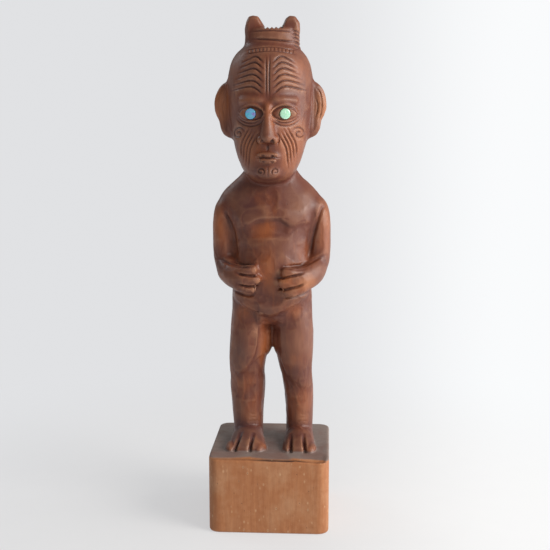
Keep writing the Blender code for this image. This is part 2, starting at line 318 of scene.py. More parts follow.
def block_out(bm, outline, front, back):
    """A closed form with one outline, from points given as (x, h), drawn in a little at its front and back."""
    x0, h0 = np.mean(outline, axis=0)
    layers = ((front, 0.74), (front + 2.4, 1.0), (back - 2.4, 1.0), (back, 0.74))
    made = [bm.verts.new(place(x0 + (x - x0) * k, y, h0 + (h - h0) * k)) for y, k in layers for x, h in outline]
    hull = bmesh.ops.convex_hull(bm, input=made)
    loose = [item for item in hull["geom_interior"] if isinstance(item, bmesh.types.BMVert)]
    bmesh.ops.delete(bm, geom=loose, context="VERTS")


BETWEEN_LEGS_X = 0.6
KNOB_OUTLINES = (
    (
        [(-15.4, 260), (-15.8, 273.0), (-14.2, 276.6), (-11.4, 277.4), (-8.0, 276.8), (-2.8, 268.6), (-3.0, 260)],
        -8.4,
        4.4,
    ),
    (
        [(6.0, 260), (5.8, 267.6), (9.2, 275.2), (11.6, 277.0), (15.2, 276.6), (18.0, 272.6), (17.8, 260)],
        -8.2,
        4.2,
    ),
)
TOES = ((-25.3, 4.0), (-17.2, 5.1), (-7.4, 5.3), (11.6, 2.9), (18.4, 5.0), (26.2, 4.2))


def plain_figure():
    """The frame's figure as one welded mesh, with a low swelling round each eye socket."""
    bm = bmesh.new()
    bm.from_mesh(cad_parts["carved_figure"].data)
    bmesh.ops.remove_doubles(bm, verts=bm.verts, dist=1e-6)
    for side, hand in SIDES:
        seat = SEATS[side].translation
        x, y, h = to_drawn(np.array(seat))
        ball(bm, (x, y + 1.9, h), (5.2, 1.9, 4.6), turn=hand * math.radians(12))
    return new_mesh_object("timber_figure", bm)


def added_forms():
    """Nose, lips, knobs, crotch and toes, as closed forms that overlap the frame's plain figure."""
    bm = bmesh.new()
    ball(bm, (HEAD_X, -31.0, 201.6), (3.3, 3.4, 3.2))
    ball(bm, (HEAD_X, -27.9, 190.9), (6.6, 2.2, 1.7))
    ball(bm, (HEAD_X, -27.6, 187.2), (5.6, 2.4, 2.0))
    for hand in (-1, 1):
        ball(bm, (HEAD_X + hand * 4.2, -28.2, 200.2), (2.3, 3.2, 2.7))
    for outline, front, back in KNOB_OUTLINES:
        block_out(bm, outline, front, back)
    for hand in (-1, 1):
        ball(bm, (BETWEEN_LEGS_X + hand * 4.2, 2.0, 74.0), (5.0, 8.0, 16.0))
    for x, half in TOES:
        ball(bm, (x, -18.8, 0.2), (half, 8.2, 4.4))
    forms = bpy.data.meshes.new("forms")
    bm.to_mesh(forms)
    bm.free()
    return forms


def add_to(mesh, forms):
    bm = bmesh.new()
    bm.from_mesh(mesh)
    bm.from_mesh(forms)
    bm.to_mesh(mesh)
    bm.free()
    bpy.data.meshes.remove(forms)


SOFTENED = (
    ((-10.5, 274), (11, 11)),
    ((12.5, 274), (11, 11)),
    ((0.6, 77), (9, 15)),
)
CREASES = (
    ((-27.0, 142), (7, 21)),
    ((28.0, 142), (7, 21)),
    ((-16.0, 44), (15, 11)),
    ((16.0, 44), (15, 11)),
)


def voxel_merge(obj, size):
    merge = obj.modifiers.new("merge", "REMESH")
    merge.mode = "VOXEL"
    merge.voxel_size = size


def ease_figure(obj, iterations, places=()):
    """Smooths the figure, or only the given places on it, and leaves the block's flat faces as they are."""
    skin = Skin(obj.data)
    chosen = skin.h > 0.6
    if places:
        reach = [hill(skin.x, skin.h, centre, half) for centre, half in places]
        chosen &= np.max(reach, axis=0) > 0.02
    group = obj.vertex_groups.new(name="figure")
    group.add(np.flatnonzero(chosen).tolist(), 1.0, "REPLACE")
    ease = obj.modifiers.new("ease", "SMOOTH")
    ease.factor = 0.5
    ease.iterations = iterations
    ease.vertex_group = "figure"
    finished_mesh(obj)
    obj.vertex_groups.clear()


# Carving, from the topknot down.


def around_topknot(skin):
    """Distance along the bun's side from its front middle, in drawn units."""
    return np.arctan2(skin.x - TOPKNOT_X, -(skin.y + 2.0)) * 13.0


TOPKNOT_X = 0.7
TOOTH_PITCH = 2.7


def cut_topknot(skin):
    on_bun = smoothstep(255.5, 256.5, skin.h) * smoothstep(0.75, 0.5, np.abs(skin.normal[:, 2]))
    u = around_topknot(skin)
    skin.groove([(-15, 267.0), (0, 267.2), (16, 266.6)], 1.3, 0.7, on_bun, u=u)
    skin.groove([(-13, 262.4), (0, 261.6), (15, 260.6)], 1.7, 1.1, on_bun, u=u)
    for i in range(6):
        fall = 2.3 * i
        skin.groove([(13.0, 268.2 - fall), (19.0, 266.2 - fall), (30.0, 263.4 - fall)], 1.7, 0.85, on_bun, u=u)
    tooth = 1 - 2 * np.abs(((skin.x - TOPKNOT_X) / TOOTH_PITCH) % 1.0 - 0.5)
    saddle = smoothstep(6.6, 5.6, np.abs(skin.x - 1.4)) * smoothstep(268.4, 269.2, skin.h) * (skin.h < 271)
    skin.add_cut(1.1 * tooth * saddle)


def cut_hairline(skin):
    """A row of beads along the foot of the bun, between two fine lines."""
    where = skin.front * smoothstep(249, 251, skin.h)
    for rise in (0.0, 2.6):
        skin.groove([(-15, 252.6 + rise), (0.4, 254.2 + rise), (16, 252.6 + rise)], 0.9, 0.6, where, taper=0.1)
    for i in range(-6, 7):
        x = 0.4 + 2.3 * i
        h = 254.2 - 0.0068 * (x - 0.4) ** 2
        skin.groove([(x, h), (x, h + 2.6)], 0.8, 0.5, where, taper=0.05)


def cut_forehead(skin):
    where = skin.front * smoothstep(25.5, 23.5, np.abs(skin.x - HEAD_X))
    for hand in (-1, 1):
        middle = [(HEAD_X + hand * 1.0, 226), (HEAD_X + hand * 0.9, 238), (HEAD_X + hand * 1.1, 251)]
        skin.groove(middle, 1.1, 0.8, where)
        for i in range(6):
            foot = (HEAD_X + hand * 3.0, 227.6 + 3.9 * i)
            bend = (HEAD_X + hand * (10.5 - 0.5 * i), 232.4 + 3.7 * i)
            end = (HEAD_X + hand * (23.5 - 1.5 * i), 230.4 + 3.4 * i)
            skin.groove([foot, bend, end], 1.5, 0.95, where)


def cut_cheeks(skin):
    where = skin.front * smoothstep(26.0, 23.0, np.abs(skin.x - HEAD_X))
    for hand in (-1, 1):
        for i in range(4):
            top = (HEAD_X + hand * (6.6 + 1.7 * i), 203.5 + 1.4 * i)
            bend = (HEAD_X + hand * (11.2 + 1.9 * i), 194.5 + 1.2 * i)
            foot = (HEAD_X + hand * (12.4 + 1.7 * i), 182.5 + 2.2 * i)
            skin.groove([top, bend, foot], 1.4, 0.9, where)
        for i in range(2):
            reach = 6.6 + 1.9 * i
            skin.groove(
                arc((HEAD_X + hand * EYE_X, EYE_H + 1.0), (reach + 1.6, reach), -155, -25),
                1.2,
                0.75,
                where,
            )
        curl = spiral((HEAD_X + hand * 19.0, 204.0), 0.6, 4.2, 40, 1.35, hand)
        skin.groove(curl, 1.3, 0.85, where, taper=0.12)


def cut_chin(skin):
    where = skin.front * smoothstep(176, 177.5, skin.h)
    for hand in (-1, 1):
        skin.groove(spiral((HEAD_X + hand * 4.6, 180.6), 0.5, 2.5, 200, 1.1, hand), 1.1, 0.7, where, taper=0.12)
    skin.groove([(HEAD_X, 184), (HEAD_X, 177)], 0.9, 0.5, where)


def shape_eyes(skin):
    """An almond field around each disc, between a heavy upper lid and a finer lower one."""
    for side, _ in SIDES:
        inverse = np.array(SEATS[side].inverted())
        real = to_real(skin.co)
        local = (real @ inverse[:3, :3].T + inverse[:3, 3]) / MM
        u = local[:, 0]
        depth = local[:, 1]
        v = local[:, 2]
        nearby = (np.abs(u) < 14) & (np.abs(v) < 9) & (depth < 12)
        corner = np.clip(1 - (u / 8.6) ** 2, 0, 1)
        lid_line = np.where(v > 0, 4.5, 4.1) * corner**0.72
        outside = np.abs(v) - lid_line
        inside = smoothstep(0.35, -0.35, outside) * nearby * (np.abs(u) < 8.6)
        ball_depth = 0.55 + u**2 / 60.0 + v**2 / 60.0
        skin.co[:, 1] += (ball_depth - depth) * inside
        upper = v > 0
        lid = np.where(upper, 1.25, 0.8) * np.exp(-(((outside - 0.9) / np.where(upper, 1.2, 0.9)) ** 2))
        lid = lid * (1 - inside) * nearby * smoothstep(10.5, 8.0, np.abs(u)) * (skin.front > 0.3)
        skin.co[:, 1] -= lid
        rim = nearby & (np.abs(u) < 8.8)
        skin.add_cut(0.65 * np.clip(1 - np.abs(outside + 0.25) / 0.6, 0, 1) * rim)


def cut_mouth(skin):
    where = skin.front * smoothstep(9.5, 8.0, np.abs(skin.x - HEAD_X))
    skin.groove(
        [(HEAD_X - 8, 188.9), (HEAD_X - 3, 189.2), (HEAD_X, 188.8), (HEAD_X + 3, 189.2), (HEAD_X + 8, 188.9)],
        1.2,
        1.1,
        where,
    )
    skin.groove([(HEAD_X, 197), (HEAD_X, 193.2)], 2.2, 0.6, where, round_floor=True)


def cut_nostrils(skin):
    for hand in (-1, 1):
        below = smoothstep(0.1, 0.6, -skin.normal[:, 2]) * smoothstep(204, 201, skin.h) * (skin.y < -26)
        skin.add_cut(1.6 * hill(skin.x, skin.y, (HEAD_X + hand * 2.9, -30.4), (1.7, 2.4)) * below)
        flank = skin.front * (np.abs(skin.x - HEAD_X) < 9)
        skin.groove(
            arc((HEAD_X + hand * 3.6, 200.6), (3.6, 4.2), 90 - hand * 20, 90 - hand * 150),
            1.2,
            0.7,
            flank,
        )


def flatten_ears(skin):
    for hand in (-1, 1):
        u = hand * (skin.x - HEAD_X)
        on_ear = smoothstep(26.5, 28.5, u) * (skin.h > 200) * (skin.h < 240) * (skin.y < 0)
        skin.co[:, 1] += np.clip(-2.6 - skin.y, 0, 3) * on_ear


def cut_ears(skin):
    """Two curved cuts along each ear's rim, faint on the right ear."""
    for hand in (-1, 1):
        u = hand * (skin.x - HEAD_X)
        on_ear = skin.front * smoothstep(27.5, 28.5, u) * (np.abs(skin.y) < 9)
        depth = 0.7 if hand > 0 else 0.3
        rim = [(29.2, 232.5), (31.8, 229.5), (33.0, 223.5), (32.4, 216.5), (30.4, 210.0)]
        fold = [(28.8, 226.5), (30.2, 222.5), (30.0, 218.0), (28.8, 214.0)]
        skin.groove(rim, 1.3, depth, on_ear, u=u)
        skin.groove(fold, 1.2, depth, on_ear, u=u)


def shape_chest(skin):
    """Two shallow breasts with a soft lower edge, over a sunk step in the middle."""
    front = skin.front * smoothstep(25, 20, np.abs(skin.x - 1))
    edge = [(-20, 143.6), (-13.7, 146.7), (-6, 149.9), (5, 150.4), (9, 148.6), (14, 146.0), (23, 147.4)]
    skin.ledge(edge, 1.0, 1.7, 17, front)
    across = smoothstep(-14, -9.5, skin.x) * smoothstep(13.5, 8.5, skin.x)
    below = smoothstep(1.5, -1.5, skin.h - near_line(edge, skin.x)) * smoothstep(137.4, 141.0, skin.h)
    skin.raise_by(-0.9 * across * below * front)
    skin.raise_by(-0.6 * hill(skin.x, skin.h, (1.0, 160), (5, 14)) * front)


def cut_arms(skin):
    """Open V cuts between arm and body, over each forearm and under each hand."""
    where = skin.front * (skin.y < 14)
    inside = {1: [(34.2, 159.5), (32.0, 154.5), (29.0, 146), (26.6, 136), (25.0, 125)]}
    inside[-1] = [(-31, 155.5), (-27, 149), (-24.2, 141), (-23.2, 134), (-21, 125)]
    over = {1: [(35.5, 126.8), (29, 124.2), (22, 121.3), (15, 120.8), (7.6, 120)]}
    over[-1] = [(-34, 123.8), (-26, 121.9), (-17, 120.8), (-10.6, 121)]
    under = {1: [(26, 103.6), (19, 100.8), (12.7, 100), (7, 100.4)]}
    under[-1] = [(-25, 103.6), (-17.7, 101.2), (-13, 100.8), (-9.6, 102.6)]
    for hand in (1, -1):
        skin.groove(inside[hand], 3.8, 1.2, where, stain=0.25, taper=0.15)
    for hand in (-1, 1):
        skin.groove(over[hand], 3.0, 1.0, where, stain=0.4)
        skin.groove(under[hand], 2.8, 1.1, where, stain=0.3)


FINGER_GAPS = (
    [(-7.6, 115.2), (-12, 115.2), (-16, 115.7), (-21.5, 116.6)],
    [(-7.2, 108.4), (-11, 108.2), (-15, 108.4), (-20.5, 109.6)],
    [(3.6, 112.9), (9.9, 114.2), (16.2, 115.5), (21.6, 116.9)],
    [(4.6, 105.5), (8, 106.0), (13.1, 107.3), (18.1, 108.4), (22.4, 110.5)],
)


def cut_fingers(skin):
    where = skin.front * (skin.y < -18)
    for gap in FINGER_GAPS:
        skin.groove(gap, 2.3, 1.6, where, taper=0.2, stain=0.5)


def shape_belly(skin):
    """The belly rolls softly over the thighs, and the thighs fall away to each other in the middle."""
    front = skin.front * smoothstep(25.5, 21, np.abs(skin.x))
    skin.raise_by(0.8 * hill(skin.x, skin.h, (0.2, 97), (20, 12)) * front)
    fold = [(-24, 97), (-16.6, 93.4), (-9.4, 90.1), (-3.6, 88.3), (1, 87.7), (9.4, 91.2), (17, 95.6), (24, 99)]
    skin.ledge(fold, 1.5, 2.0, 15, front)
    skin.write()
    skin.raise_by(-0.7 * hill(skin.x, skin.h, (0.6, 79), (8.0, 10)) * skin.front)


def shape_legs(skin):
    """Each thigh comes down over the knee as a long tongue with a soft edge, and each ankle gets three shallow
    lines.
    """
    left = skin.front * smoothstep(4, 8, skin.x) * (skin.h > 20) * (skin.h < 90)
    right = skin.front * smoothstep(-3, -7, skin.x) * (skin.h > 20) * (skin.h < 90)
    right_knee = [(-28, 46.5), (-22, 46.8), (-17.8, 49.9), (-12.4, 57), (-9.4, 66), (-8.4, 78)]
    skin.ledge(right_knee, 0.9, 3.0, 34, right)
    skin.ledge([(6.5, 58), (9.1, 50), (13, 43.5), (18.3, 39), (23, 37), (28, 37)], 0.9, 3.0, 38, left)
    for x, h in ((-12.9, 16.9), (20.2, 17.4)):
        for i in range(3):
            start = (x - 3.6 + 1.3 * i, h - 3.0 + 2.7 * i)
            end = (x + 4.6 - i, h - 3.1 + 2.5 * i)
            line = [start, (x + 0.4, h - 2.6 + 2.3 * i), end]
            skin.groove(line, 1.6, 0.22, skin.front * (skin.y < 5), stain=0.2)


TOE_CUTS = (
    [(-19.6, -13.0), (-20.6, -20), (-22.4, -27), (-23.2, -31)],
    [(-11.2, -13.0), (-11.7, -20), (-12.5, -27), (-12.8, -31)],
    [(13.4, -12.5), (13.5, -20), (13.7, -27), (13.8, -31)],
    [(21.8, -12.5), (22.2, -20), (23.0, -27), (23.3, -31)],
)


def cut_toes(skin):
    on_foot = smoothstep(0.1, 0.7, skin.h) * (skin.h < 14) * (skin.y < -9)
    for line in TOE_CUTS:
        skin.groove(line, 3.2, 2.6, on_foot, v=skin.y, taper=0.45, stain=0.3)


def cut_spine(skin):
    """A shallow line down the back and between the buttocks, and a soft cut behind each arm."""
    back = smoothstep(0.1, 0.4, skin.normal[:, 1])
    skin.groove([(-0.6, 168), (-0.3, 140), (0.1, 112)], 5.0, 1.2, back, stain=0.3, round_floor=True)
    skin.groove([(0.1, 112), (0.2, 96), (0.4, 80)], 3.4, 1.4, back, taper=0.2, stain=0.3, round_floor=True)
    for hand in (-1, 1):
        u = hand * skin.x
        skin.groove([(25.6, 160), (26.4, 146), (25.0, 130)], 3.4, 1.4, back, u=u, stain=0.3)


def wave_arris(skin):
    """The hand-cut fall in front of the toes ends in a slightly wavy edge, lower towards the left."""
    half_depth = CANON.y / 2
    near_edge = smoothstep(half_depth - 14, half_depth - 2, -skin.y)
    top = smoothstep(-4.0, -0.5, skin.h) * near_edge * (skin.h < 1.5)
    wave = 0.16 * np.sin(skin.x / 6.1 + 0.6) + 0.1 * np.sin(skin.x / 2.9 + 1.9)
    fall = 0.5 * smoothstep(-20, 10, skin.x) + 1.1 * smoothstep(18, 31, skin.x) * smoothstep(38, 34, skin.x)
    skin.co[:, 2] += (wave - fall) * top


def cut_everything(skin):
    for step in (
        cut_topknot,
        cut_hairline,
        cut_forehead,
        cut_cheeks,
        cut_chin,
        cut_mouth,
        cut_nostrils,
        cut_ears,
        cut_arms,
        cut_fingers,
        cut_toes,
        cut_spine,
    ):
        step(skin)


def carve(mesh):
    skin = Skin(mesh)
    shape_chest(skin)
    shape_legs(skin)
    skin.write()
    shape_belly(skin)
    skin.write()
    on_figure = smoothstep(1.0, 4.0, skin.h)
    skin.raise_by(0.12 * skin.undulation((9.0, 22.0), 14, 3) * on_figure)
    skin.write()
    body = (skin.h > 8) & (skin.h < 170)
    skin.whittle(body, 360, (9.0, 13.0), (0.05, 0.14), 11)
    skull = (skin.h > 178) & (skin.h < 250) & (skin.y > -12)
    skin.whittle(skull, 110, (9.0, 13.0), (0.05, 0.12), 12)
    skin.write()
    flatten_ears(skin)
    shape_eyes(skin)
    cut_everything(skin)
    wave_arris(skin)
    skin.sink_cuts()


def pare(obj, most):
    """Fewer, larger triangles where the surface is flat."""
    triangles = sum(len(p.vertices) - 2 for p in obj.data.polygons)
    step = obj.modifiers.new("pare", "DECIMATE")
    step.ratio = min(1.0, most / triangles)
    finished_mesh(obj)


def drill_sockets(obj, clearance):
    """Cuts a round socket for each disc and its bed of glue."""
    drills = []
    for side, _ in SIDES:
        low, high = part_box("eye_inlay_" + side)
        radius = (high.z - low.z) / 2 + clearance
        depth = 3.1 * MM
        proud = 6 * MM
        bm = bmesh.new()
        face_front = Matrix.Rotation(math.radians(90), 4, "X")
        middle = Matrix.Translation((0, (depth - proud) / 2, 0))
        bmesh.ops.create_cone(
            bm,
            cap_ends=True,
            segments=64,
            radius1=radius,
            radius2=radius,
            depth=depth + proud,
            matrix=SEATS[side] @ middle @ face_front,
        )
        drill = new_mesh_object("drill_" + side, bm)
        cut = obj.modifiers.new("socket_" + side, "BOOLEAN")
        cut.operation = "DIFFERENCE"
        cut.object = drill
        drills.append(drill)
    finished_mesh(obj)
    for drill in drills:
        bpy.data.objects.remove(drill)


# Finish: what the surface's shape says about stain and wear, with patches of stain, painted highlight and painted
# shade, stored on its points.


def neighbour_mean(mesh, values, rounds):
    edges = np.empty(len(mesh.edges) * 2, np.int32)
    mesh.edges.foreach_get("vertices", edges)
    a, b = edges.reshape(-1, 2).T
    count = np.bincount(a, minlength=len(values)) + np.bincount(b, minlength=len(values))
    for _ in range(rounds):
        total = np.bincount(a, values[b], len(values)) + np.bincount(b, values[a], len(values))
        values = 0.5 * values + 0.5 * total / np.maximum(count, 1)
    return values


def swell(mesh, skin, rounds):
    """How far each point stands proud of its smoothed surroundings, in drawn units."""
    smooth = np.stack([neighbour_mean(mesh, skin.co[:, i].copy(), rounds) for i in range(3)], 1)
    return np.einsum("ij,ij->i", skin.co - smooth, skin.normal)


def store(mesh, name, values):
    layer = mesh.attributes.new(name, "FLOAT", "POINT")
    layer.data.foreach_set("value", values.astype(np.float32))


def patches(skin, places):
    """The strongest of several soft round patches over the front and back of the figure."""
    total = np.zeros(len(skin.co))
    for centre, half, amount in places:
        total = np.maximum(total, amount * hill(skin.x, skin.h, centre, half))
    return total


WORN_TIPS = ((-9.3, 118.9), (-7.1, 111.8), (-9.9, 106.3), (5.7, 117.2), (4.2, 110.0), (5.9, 104.3))


# Pale patches laid in with the wear: those on the figure's left chest, forearm, belly, thigh and ear are painted
# highlights where the key light falls, the others are rubbed places.
PALE_AND_HIGHLIGHT_PLACES = (
    ((-12.9, 17), (7, 6), 0.6),
    ((20.2, 17.5), (7, 6), 0.7),
    ((24, 111), (10, 8), 1.0),
    ((33, 220), (9, 22), 1.2),
    ((-33, 222), (9, 22), 0.6),
    ((18, 158), (10, 9), 0.55),
    ((14, 101), (9, 11), 0.4),
    ((18, 70), (8, 16), 0.5),
)
THIN_STAIN = (
    ((-34.5, 143), (9, 19), 0.8),
    ((35.5, 143), (8, 22), 0.35),
    ((-3.0, 143.5), (13, 9), 0.75),
    ((-1.0, 116), (10, 24), 0.75),
    ((-4.5, 68), (6, 22), 0.75),
    ((-15.5, 30), (13, 23), 0.2),
    ((17.0, 24), (10, 20), 0.3),
    ((-18.0, 90), (9, 9), 0.5),
    ((15.0, 90), (10, 9), 0.6),
    ((9.0, 112), (8, 8), 0.6),
    ((24.0, 110), (10, 9), 0.6),
    ((-12.0, 196), (13, 16), 0.65),
    ((16.0, 200), (14, 24), 0.6),
    ((0.0, 215), (6, 14), 0.6),
    ((16.0, 240), (16, 14), 0.4),
    ((33.0, 220), (9, 20), 0.9),
    ((-33.0, 222), (9, 20), 0.9),
)
# Dark grey-purple patches: partly stain, partly painted shade on the figure's right side away from the key light,
# under the belly and under the chin.
DUSKY_STAIN_AND_SHADE = (
    ((-30.0, 119), (11, 10), 1.0),
    ((-15.0, 160), (19, 17), 0.8),
    ((-20.0, 64), (10, 24), 1.2),
    ((18.0, 50), (9, 12), 0.6),
    ((2.0, 89), (13, 7), 0.8),
    ((-16.0, 8), (14, 11), 1.6),
    ((17.0, 8), (12, 9), 0.6),
    ((0.0, 178), (14, 8), 0.6),
    ((-16.0, 238), (16, 16), 0.5),
)


def record_finish(mesh):
    skin = Skin(mesh)
    cut_everything(skin)
    proud = swell(mesh, skin, 14)
    on_figure = smoothstep(-1.0, 1.0, skin.h)
    store(mesh, "hollow", np.clip(0.7 * skin.stain + np.clip(-proud, 0, 1) * 0.9, 0, 1) * on_figure)
    # Wear on high places and fingertips, and the painted highlights of the pale patches, go into one attribute.
    wear_and_highlight = np.clip(proud * 2.2, 0, 1)
    for centre in WORN_TIPS:
        wear_and_highlight = np.maximum(wear_and_highlight, 1.3 * hill(skin.x, skin.h, centre, (2.6, 2.6)) * (skin.y < -20))
    for centre, half, amount in PALE_AND_HIGHLIGHT_PLACES:
        wear_and_highlight = np.maximum(wear_and_highlight, amount * hill(skin.x, skin.h, centre, half) * skin.front)
    store(mesh, "wear_and_highlight", np.clip(wear_and_highlight, 0, 1))
    store(mesh, "thin_stain", patches(skin, THIN_STAIN))
    # Dark patches of stain, with painted shade on the side away from the key light, under the belly and under the
    # chin.
    store(mesh, "dusky_stain_and_shade", patches(skin, DUSKY_STAIN_AND_SHADE))
    between_feet = hill(skin.x, skin.y, (1.5, -4), (11, 24))
    store(mesh, "block_top", smoothstep(1.6, 0.4, skin.h) * (1 - 0.6 * between_feet))


# Materials.


class Nodes:
    """Adds nodes to a tree and links them by what feeds each socket."""

    def __init__(self, tree):
        self.tree = tree

    def add(self, kind, feeds=None, **settings):
        node = self.tree.nodes.new(kind)
        for name, value in settings.items():
            setattr(node, name, value)
        for socket, value in (feeds or {}).items():
            self.feed(node.inputs[socket], value)
        return node

    def feed(self, socket, value):
        if isinstance(value, bpy.types.Node):
            value = value.outputs[0]
        if isinstance(value, bpy.types.NodeSocket):
            self.tree.links.new(value, socket)
        else:
            socket.default_value = value

    def math(self, operation, a, b=0.0, c=0.0, clamp=False):
        return self.add("ShaderNodeMath", {0: a, 1: b, 2: c}, operation=operation, use_clamp=clamp)

    def between(self, value, low, high, to_low=0.0, to_high=1.0):
        return self.add("ShaderNodeMapRange", {0: value, 1: low, 2: high, 3: to_low, 4: to_high})

    def attribute(self, name):
        return self.add("ShaderNodeAttribute", attribute_name=name).outputs["Fac"]

    def stretched(self, scale):
        where = self.add("ShaderNodeTexCoord").outputs["Object"]
        return self.add("ShaderNodeMapping", {"Vector": where, "Scale": scale})

    def noise(self, vector, scale, detail=3.0, roughness=0.55, distortion=0.0):
        feeds = {"Vector": vector, "Scale": scale, "Detail": detail}
        feeds |= {"Roughness": roughness, "Distortion": distortion}
        return self.add("ShaderNodeTexNoise", feeds)

    def mix(self, factor, a, b, blend="MIX"):
        node = self.add("ShaderNodeMix", data_type="RGBA", blend_type=blend)
        node.clamp_factor = True
        self.feed(node.inputs[0], factor)
        self.feed(node.inputs[6], a)
        self.feed(node.inputs[7], b)
        return node.outputs[2]


def new_material(name):
    made = bpy.data.materials.new(name)
    made.use_nodes = True
    shader = made.node_tree.nodes["Principled BSDF"]
    return made, shader, Nodes(made.node_tree)


def rgba(colour):
    return (*colour, 1.0)


def block_edge(n, clouds):
    """Masks of the block's plain faces, the dark stain along its front arris, and its rounded corners, which get
    painted shade.
    """
    x, y, z = n.add("ShaderNodeSeparateXYZ", {0: n.stretched((1.0, 1.0, 1.0))}).outputs
    fall = n.math("ADD", n.between(x, -0.020, 0.010, 0.0, 0.0004), n.between(x, 0.018, 0.031, 0.0, 0.0007))
    fall = n.math("ADD", fall, n.between(clouds, 0.3, 0.7, -0.0002, 0.0002))
    level = n.math("SUBTRACT", n.math("ADD", z, fall), BLOCK_TOP - 1.0 * MM)
    face = n.between(level, 0.0002, -0.0002)
    line = n.between(n.math("ABSOLUTE", n.math("ADD", level, 0.0003)), 0.0006, 0.0002)
    on_front = n.math("MULTIPLY", n.between(y, -0.0350, -0.0375), n.between(x, -0.022, 0.0, 0.3, 1.0))
    # Painted shade on the rounded corners of the block.
    corner = n.math("MULTIPLY", *(n.between(n.math("ABSOLUTE", side), 0.0350, 0.0385) for side in (x, y)))
    return face, n.math("MULTIPLY", line, on_front), n.math("MULTIPLY", corner, 0.6)


def wood_finish(settings):
    """Reddish stain over straight-grained timber: thin when rubbed, dark in the cuts, plain on the block, with
    painted highlights and painted shade in patches on the figure and painted shade on the block's corners.
    """
    made, shader, n = new_material("stained_timber_finish")
    along_grain = n.stretched((1.0, 1.0, 0.07))
    streaks = n.noise(along_grain, 420.0, 4.0, 0.6, 0.4)
    fine_grain = n.noise(along_grain, 1900.0, 2.0, 0.5)
    clouds = n.noise(n.stretched((1.0, 1.0, 0.6)), 55.0, 3.0, 0.5, 0.6)
    mottle = n.noise(n.stretched((1.0, 1.0, 1.0)), 260.0, 3.0, 0.6)

    thin = n.math("ADD", n.attribute("thin_stain"), n.between(clouds, 0.4, 0.66, -0.2, 0.3))
    thin = n.math("ADD", thin, n.between(streaks, 0.3, 0.7, -0.12, 0.12), clamp=True)
    stain = n.mix(thin, rgba(settings.deep_stain), rgba(settings.warm_stain))
    # Dusky patches: stain, and painted shade on the figure's shaded side.
    dusk_and_shade = n.math("MULTIPLY", n.attribute("dusky_stain_and_shade"), n.between(clouds, 0.35, 0.6, 1.0, 0.6))
    stain = n.mix(dusk_and_shade, stain, rgba(settings.dusky_stain_and_shade))
    # Rubbed timber, and painted highlights on the figure's lit side, lighten the stain.
    stain = n.mix(n.math("MULTIPLY", n.attribute("wear_and_highlight"), 0.5), stain, rgba(settings.worn_wood_and_highlight))
    grained = n.between(streaks, 0.2, 0.8, 0.1, 0.9)
    block = n.mix(grained, rgba(settings.block_dark), rgba(settings.block_light))
    block = n.mix(n.between(clouds, 0.48, 0.66, 0.0, 0.35), block, rgba(settings.block_patch))
    block = n.mix(n.between(mottle, 0.5, 0.75, 0.0, 0.5), block, rgba(settings.block_dark))
    block = n.mix(n.between(mottle, 0.45, 0.3, 0.0, 0.15), block, rgba(settings.block_patch))
    top = n.mix(n.between(clouds, 0.4, 0.7, 0.0, 0.45), rgba(settings.block_top), rgba(settings.deep_stain))
    colour = n.mix(n.math("MULTIPLY", n.attribute("block_top"), 0.9), stain, top)
    face, edge, corner = block_edge(n, clouds)
    # Painted shade darkens the block's rounded corners.
    block = n.mix(corner, block, rgba(settings.dusky_stain_and_shade))
    colour = n.mix(face, colour, block)
    colour = n.mix(edge, colour, rgba(settings.cut_stain))
    grain = n.between(fine_grain, 0.3, 0.7, 0.95, 1.04)
    colour = n.mix(1.0, colour, n.add("ShaderNodeCombineColor", {0: grain, 1: grain, 2: grain}), "MULTIPLY")
    colour = n.mix(n.math("MULTIPLY", n.attribute("hollow"), 0.75), colour, rgba(settings.cut_stain))

    cells = n.add("ShaderNodeTexVoronoi", {"Vector": n.stretched((1.0, 1.0, 0.6)), "Scale": 390.0})
    chosen = n.add("ShaderNodeSeparateColor", {0: cells.outputs["Color"]})
    away = cells.outputs["Distance"]
    fleck = n.math("MULTIPLY", n.between(away, 0.3, 0.1), n.between(chosen.outputs[0], 0.68, 0.8))
    pit = n.math("MULTIPLY", n.between(away, 0.13, 0.07), n.between(chosen.outputs[1], 0.9, 0.93))
    pale = n.math("MULTIPLY", fleck, n.between(face, 0.0, 1.0, 0.0, 0.42))
    colour = n.mix(pale, colour, rgba(settings.fleck))
    colour = n.mix(n.math("MULTIPLY", pit, 0.6), colour, rgba(settings.cut_stain))
    n.feed(shader.inputs["Base Color"], colour)

    polish = n.between(face, 0.0, 1.0, settings.polish, settings.block_roughness)
    n.feed(shader.inputs["Roughness"], n.math("ADD", polish, n.between(mottle, 0.3, 0.7, -0.06, 0.08)))
    relief = n.math("ADD", n.math("MULTIPLY", streaks, 0.5), n.math("MULTIPLY", fine_grain, 0.15))
    relief = n.math("SUBTRACT", relief, n.math("MULTIPLY", pit, 0.8))
    bump = n.add("ShaderNodeBump", {"Height": relief, "Distance": 0.00022, "Strength": 0.5})
    n.feed(shader.inputs["Normal"], bump)
    shader.inputs["Specular IOR Level"].default_value = 0.38
    return made


